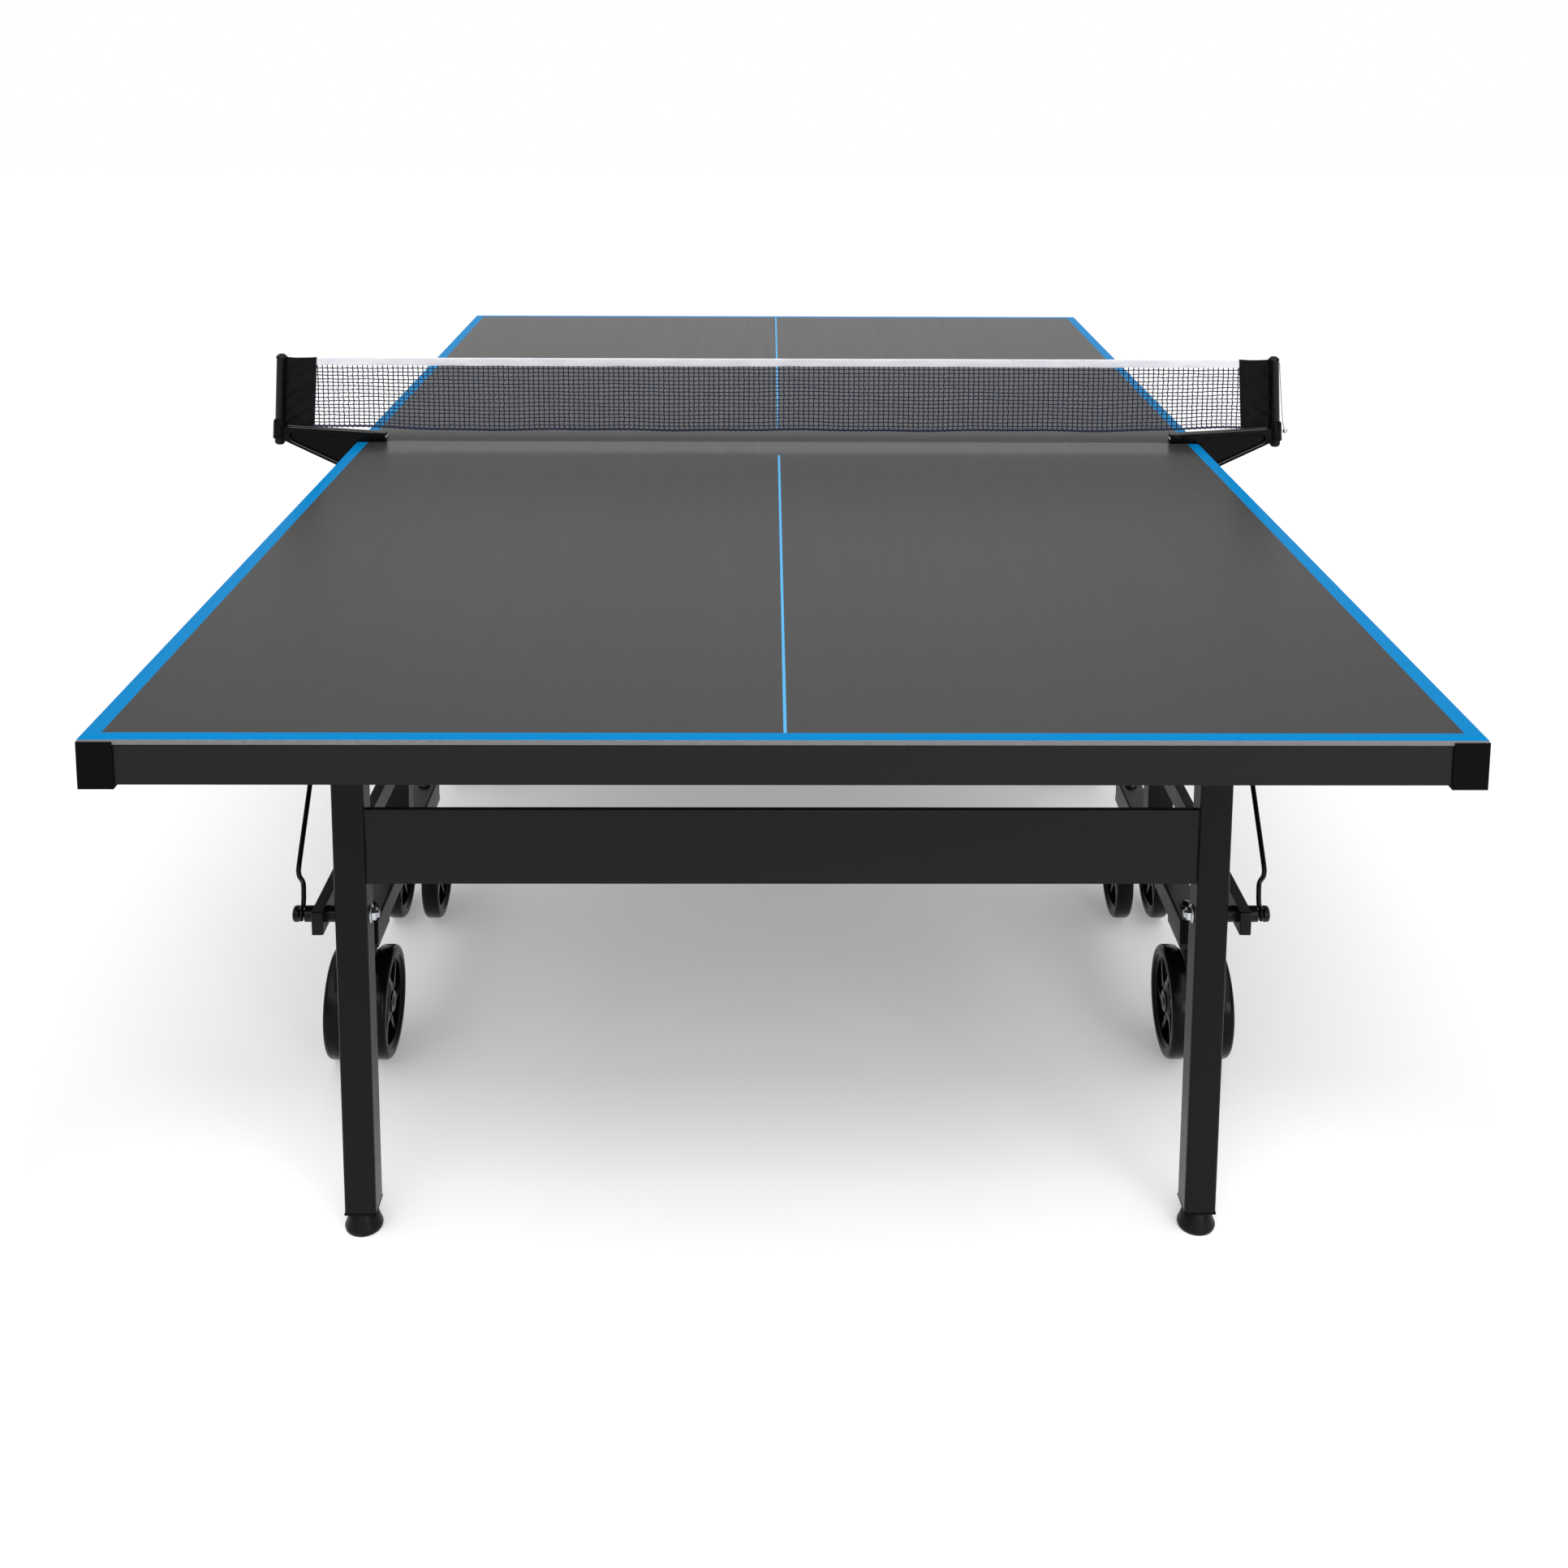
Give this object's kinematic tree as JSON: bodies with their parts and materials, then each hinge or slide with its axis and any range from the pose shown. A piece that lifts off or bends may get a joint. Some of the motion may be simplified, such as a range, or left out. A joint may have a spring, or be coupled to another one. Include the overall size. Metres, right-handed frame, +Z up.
{
  "type": "table tennis table",
  "caption": "Outdoor table tennis table that folds in two rolling halves: dark board with blue lines, black steel frame, swing-up legs, double wheels and a clamp-on net.",
  "frame": {"origin": "on the floor under the middle of the net", "axes": "+Y along the table from the near player's end to the far one, +X to the right of the near player, +Z up"},
  "size_m": [1.8419, 2.742, 0.921],
  "materials": {
    "board": "satin anthracite playing surface with blue lines and a grey cut edge",
    "powder_coat": "black powder coat, fine grain, satin",
    "black_plastic": "moulded black plastic, semi-gloss",
    "wheel_plastic": "glossy black moulded wheels",
    "rubber": "black rubber-like foot",
    "bolt": "black sleeve on a zinc-plated bolt",
    "zinc": "bright zinc plating",
    "netting": "dark navy knotted netting",
    "white_tape": "white woven band",
    "black_fabric": "black woven sleeve",
    "line_blue": "blue edge and centre lines"
  },
  "bodies": {
    "near_trolley": {"near_side_frame_left": "powder_coat", "near_side_frame_right": "powder_coat", "near_cross_tube": "powder_coat", "near_wheel_bracket_outer_left": "black_plastic", "near_wheel_bracket_outer_right": "black_plastic", "near_wheel_bracket_inner_left": "black_plastic", "near_wheel_bracket_inner_right": "black_plastic"},
    "near_top": {"near_tabletop_panel": "board", "near_apron_frame": "powder_coat", "near_corner_cap_left": "black_plastic", "near_corner_cap_right": "black_plastic"},
    "near_legs": {"near_leg_left": "powder_coat", "near_leg_right": "powder_coat", "near_cross_panel": "powder_coat", "near_pivot_bolt_left": "bolt", "near_pivot_bolt_right": "bolt"},
    "near_links": {"near_link_bar_left": "powder_coat", "near_link_bar_right": "powder_coat"},
    "near_lock_rod_left": {"near_lock_rod_left": "powder_coat"},
    "near_foot_left": {"near_foot_left": "rubber"},
    "near_wheels_outer_left": {"near_wheel_pair_outer_left": "wheel_plastic"},
    "near_wheels_inner_left": {"near_wheel_pair_inner_left": "wheel_plastic"},
    "near_lock_rod_right": {"near_lock_rod_right": "powder_coat"},
    "near_foot_right": {"near_foot_right": "rubber"},
    "near_wheels_outer_right": {"near_wheel_pair_outer_right": "wheel_plastic"},
    "near_wheels_inner_right": {"near_wheel_pair_inner_right": "wheel_plastic"},
    "far_trolley": {"far_side_frame_left": "powder_coat", "far_side_frame_right": "powder_coat", "far_cross_tube": "powder_coat", "far_wheel_bracket_outer_left": "black_plastic", "far_wheel_bracket_outer_right": "black_plastic", "far_wheel_bracket_inner_left": "black_plastic", "far_wheel_bracket_inner_right": "black_plastic"},
    "far_top": {"far_tabletop_panel": "board", "far_apron_frame": "powder_coat", "far_corner_cap_left": "black_plastic", "far_corner_cap_right": "black_plastic"},
    "far_legs": {"far_leg_left": "powder_coat", "far_leg_right": "powder_coat", "far_cross_panel": "powder_coat", "far_pivot_bolt_left": "bolt", "far_pivot_bolt_right": "bolt"},
    "far_links": {"far_link_bar_left": "powder_coat", "far_link_bar_right": "powder_coat"},
    "far_lock_rod_left": {"far_lock_rod_left": "powder_coat"},
    "far_foot_left": {"far_foot_left": "rubber"},
    "far_wheels_outer_left": {"far_wheel_pair_outer_left": "wheel_plastic"},
    "far_wheels_inner_left": {"far_wheel_pair_inner_left": "wheel_plastic"},
    "far_lock_rod_right": {"far_lock_rod_right": "powder_coat"},
    "far_foot_right": {"far_foot_right": "rubber"},
    "far_wheels_outer_right": {"far_wheel_pair_outer_right": "wheel_plastic"},
    "far_wheels_inner_right": {"far_wheel_pair_inner_right": "wheel_plastic"},
    "net_set": {"net": "netting", "net_bracket_left": "black_plastic", "net_bracket_right": "black_plastic", "net_post_left": "black_plastic", "net_post_right": "black_plastic", "tension_cord": "zinc"},
    "height_knob_left": {"height_knob_left": "black_plastic"},
    "height_knob_right": {"height_knob_right": "black_plastic"}
  },
  "joints": [
    {"name": "near_fold", "type": "hinge", "parent": "near_trolley", "child": "near_top", "pos_m": [0, -0.47, 0.715], "axis": [-1, 0, 0], "range_deg": [0, 90]},
    {"name": "near_leg_swing", "type": "hinge", "parent": "near_top", "child": "near_legs", "pos_m": [0, -1.08, 0.715], "axis": [1, 0, 0], "range_deg": [0, 90]},
    {"name": "near_link_swing", "type": "hinge", "parent": "near_trolley", "child": "near_links", "pos_m": [0, -0.5, 0.425], "axis": [-1, 0, 0], "range_deg": [0, 90]},
    {"name": "near_lock_rod_lift_left", "type": "hinge", "parent": "near_top", "child": "near_lock_rod_left", "pos_m": [-0.596, -0.945, 0.695], "axis": [-1, 0, 0], "range_deg": [0, 25]},
    {"name": "near_foot_level_left", "type": "hinge", "parent": "near_legs", "child": "near_foot_left", "pos_m": [-0.532, -1.11, 0], "axis": [0, 0, 1], "continuous": true},
    {"name": "near_roll_outer_left", "type": "hinge", "parent": "near_trolley", "child": "near_wheels_outer_left", "pos_m": [-0.6145, -0.714, 0.08], "axis": [1, 0, 0], "continuous": true},
    {"name": "near_roll_inner_left", "type": "hinge", "parent": "near_trolley", "child": "near_wheels_inner_left", "pos_m": [-0.6145, -0.29, 0.08], "axis": [1, 0, 0], "continuous": true},
    {"name": "near_lock_rod_lift_right", "type": "hinge", "parent": "near_top", "child": "near_lock_rod_right", "pos_m": [0.596, -0.945, 0.695], "axis": [-1, 0, 0], "range_deg": [0, 25]},
    {"name": "near_foot_level_right", "type": "hinge", "parent": "near_legs", "child": "near_foot_right", "pos_m": [0.532, -1.11, 0], "axis": [0, 0, 1], "continuous": true},
    {"name": "near_roll_outer_right", "type": "hinge", "parent": "near_trolley", "child": "near_wheels_outer_right", "pos_m": [0.6145, -0.714, 0.08], "axis": [1, 0, 0], "continuous": true},
    {"name": "near_roll_inner_right", "type": "hinge", "parent": "near_trolley", "child": "near_wheels_inner_right", "pos_m": [0.6145, -0.29, 0.08], "axis": [1, 0, 0], "continuous": true},
    {"name": "far_half_roll_out", "type": "slide", "parent": "near_trolley", "child": "far_trolley", "axis": [0, 1, 0], "range_m": [0, 0.5]},
    {"name": "far_fold", "type": "hinge", "parent": "far_trolley", "child": "far_top", "pos_m": [0, 0.47, 0.715], "axis": [1, 0, 0], "range_deg": [0, 90]},
    {"name": "far_leg_swing", "type": "hinge", "parent": "far_top", "child": "far_legs", "pos_m": [0, 1.08, 0.715], "axis": [-1, 0, 0], "range_deg": [0, 90]},
    {"name": "far_link_swing", "type": "hinge", "parent": "far_trolley", "child": "far_links", "pos_m": [0, 0.5, 0.425], "axis": [1, 0, 0], "range_deg": [0, 90]},
    {"name": "far_lock_rod_lift_left", "type": "hinge", "parent": "far_top", "child": "far_lock_rod_left", "pos_m": [-0.596, 0.945, 0.695], "axis": [1, 0, 0], "range_deg": [0, 25]},
    {"name": "far_foot_level_left", "type": "hinge", "parent": "far_legs", "child": "far_foot_left", "pos_m": [-0.532, 1.11, 0], "axis": [0, 0, 1], "continuous": true},
    {"name": "far_roll_outer_left", "type": "hinge", "parent": "far_trolley", "child": "far_wheels_outer_left", "pos_m": [-0.6145, 0.714, 0.08], "axis": [1, 0, 0], "continuous": true},
    {"name": "far_roll_inner_left", "type": "hinge", "parent": "far_trolley", "child": "far_wheels_inner_left", "pos_m": [-0.6145, 0.29, 0.08], "axis": [1, 0, 0], "continuous": true},
    {"name": "far_lock_rod_lift_right", "type": "hinge", "parent": "far_top", "child": "far_lock_rod_right", "pos_m": [0.596, 0.945, 0.695], "axis": [1, 0, 0], "range_deg": [0, 25]},
    {"name": "far_foot_level_right", "type": "hinge", "parent": "far_legs", "child": "far_foot_right", "pos_m": [0.532, 1.11, 0], "axis": [0, 0, 1], "continuous": true},
    {"name": "far_roll_outer_right", "type": "hinge", "parent": "far_trolley", "child": "far_wheels_outer_right", "pos_m": [0.6145, 0.714, 0.08], "axis": [1, 0, 0], "continuous": true},
    {"name": "far_roll_inner_right", "type": "hinge", "parent": "far_trolley", "child": "far_wheels_inner_right", "pos_m": [0.6145, 0.29, 0.08], "axis": [1, 0, 0], "continuous": true},
    {"name": "net_lift_off", "type": "slide", "parent": "near_trolley", "child": "net_set", "axis": [0, 0, 1], "range_m": [0, 0.25]},
    {"name": "height_knob_turn_left", "type": "hinge", "parent": "net_set", "child": "height_knob_left", "pos_m": [-0.9035, 0, 0.765], "axis": [0.0576, 0, 0.9983], "continuous": true},
    {"name": "height_knob_turn_right", "type": "hinge", "parent": "net_set", "child": "height_knob_right", "pos_m": [0.9035, 0, 0.765], "axis": [-0.0576, 0, 0.9983], "continuous": true}
  ],
  "couplings": [
    {"joint": "near_leg_swing", "follows": "near_fold", "ratio": 1},
    {"joint": "near_link_swing", "follows": "near_fold", "ratio": 1},
    {"joint": "far_leg_swing", "follows": "far_fold", "ratio": 1},
    {"joint": "far_link_swing", "follows": "far_fold", "ratio": 1}
  ]
}
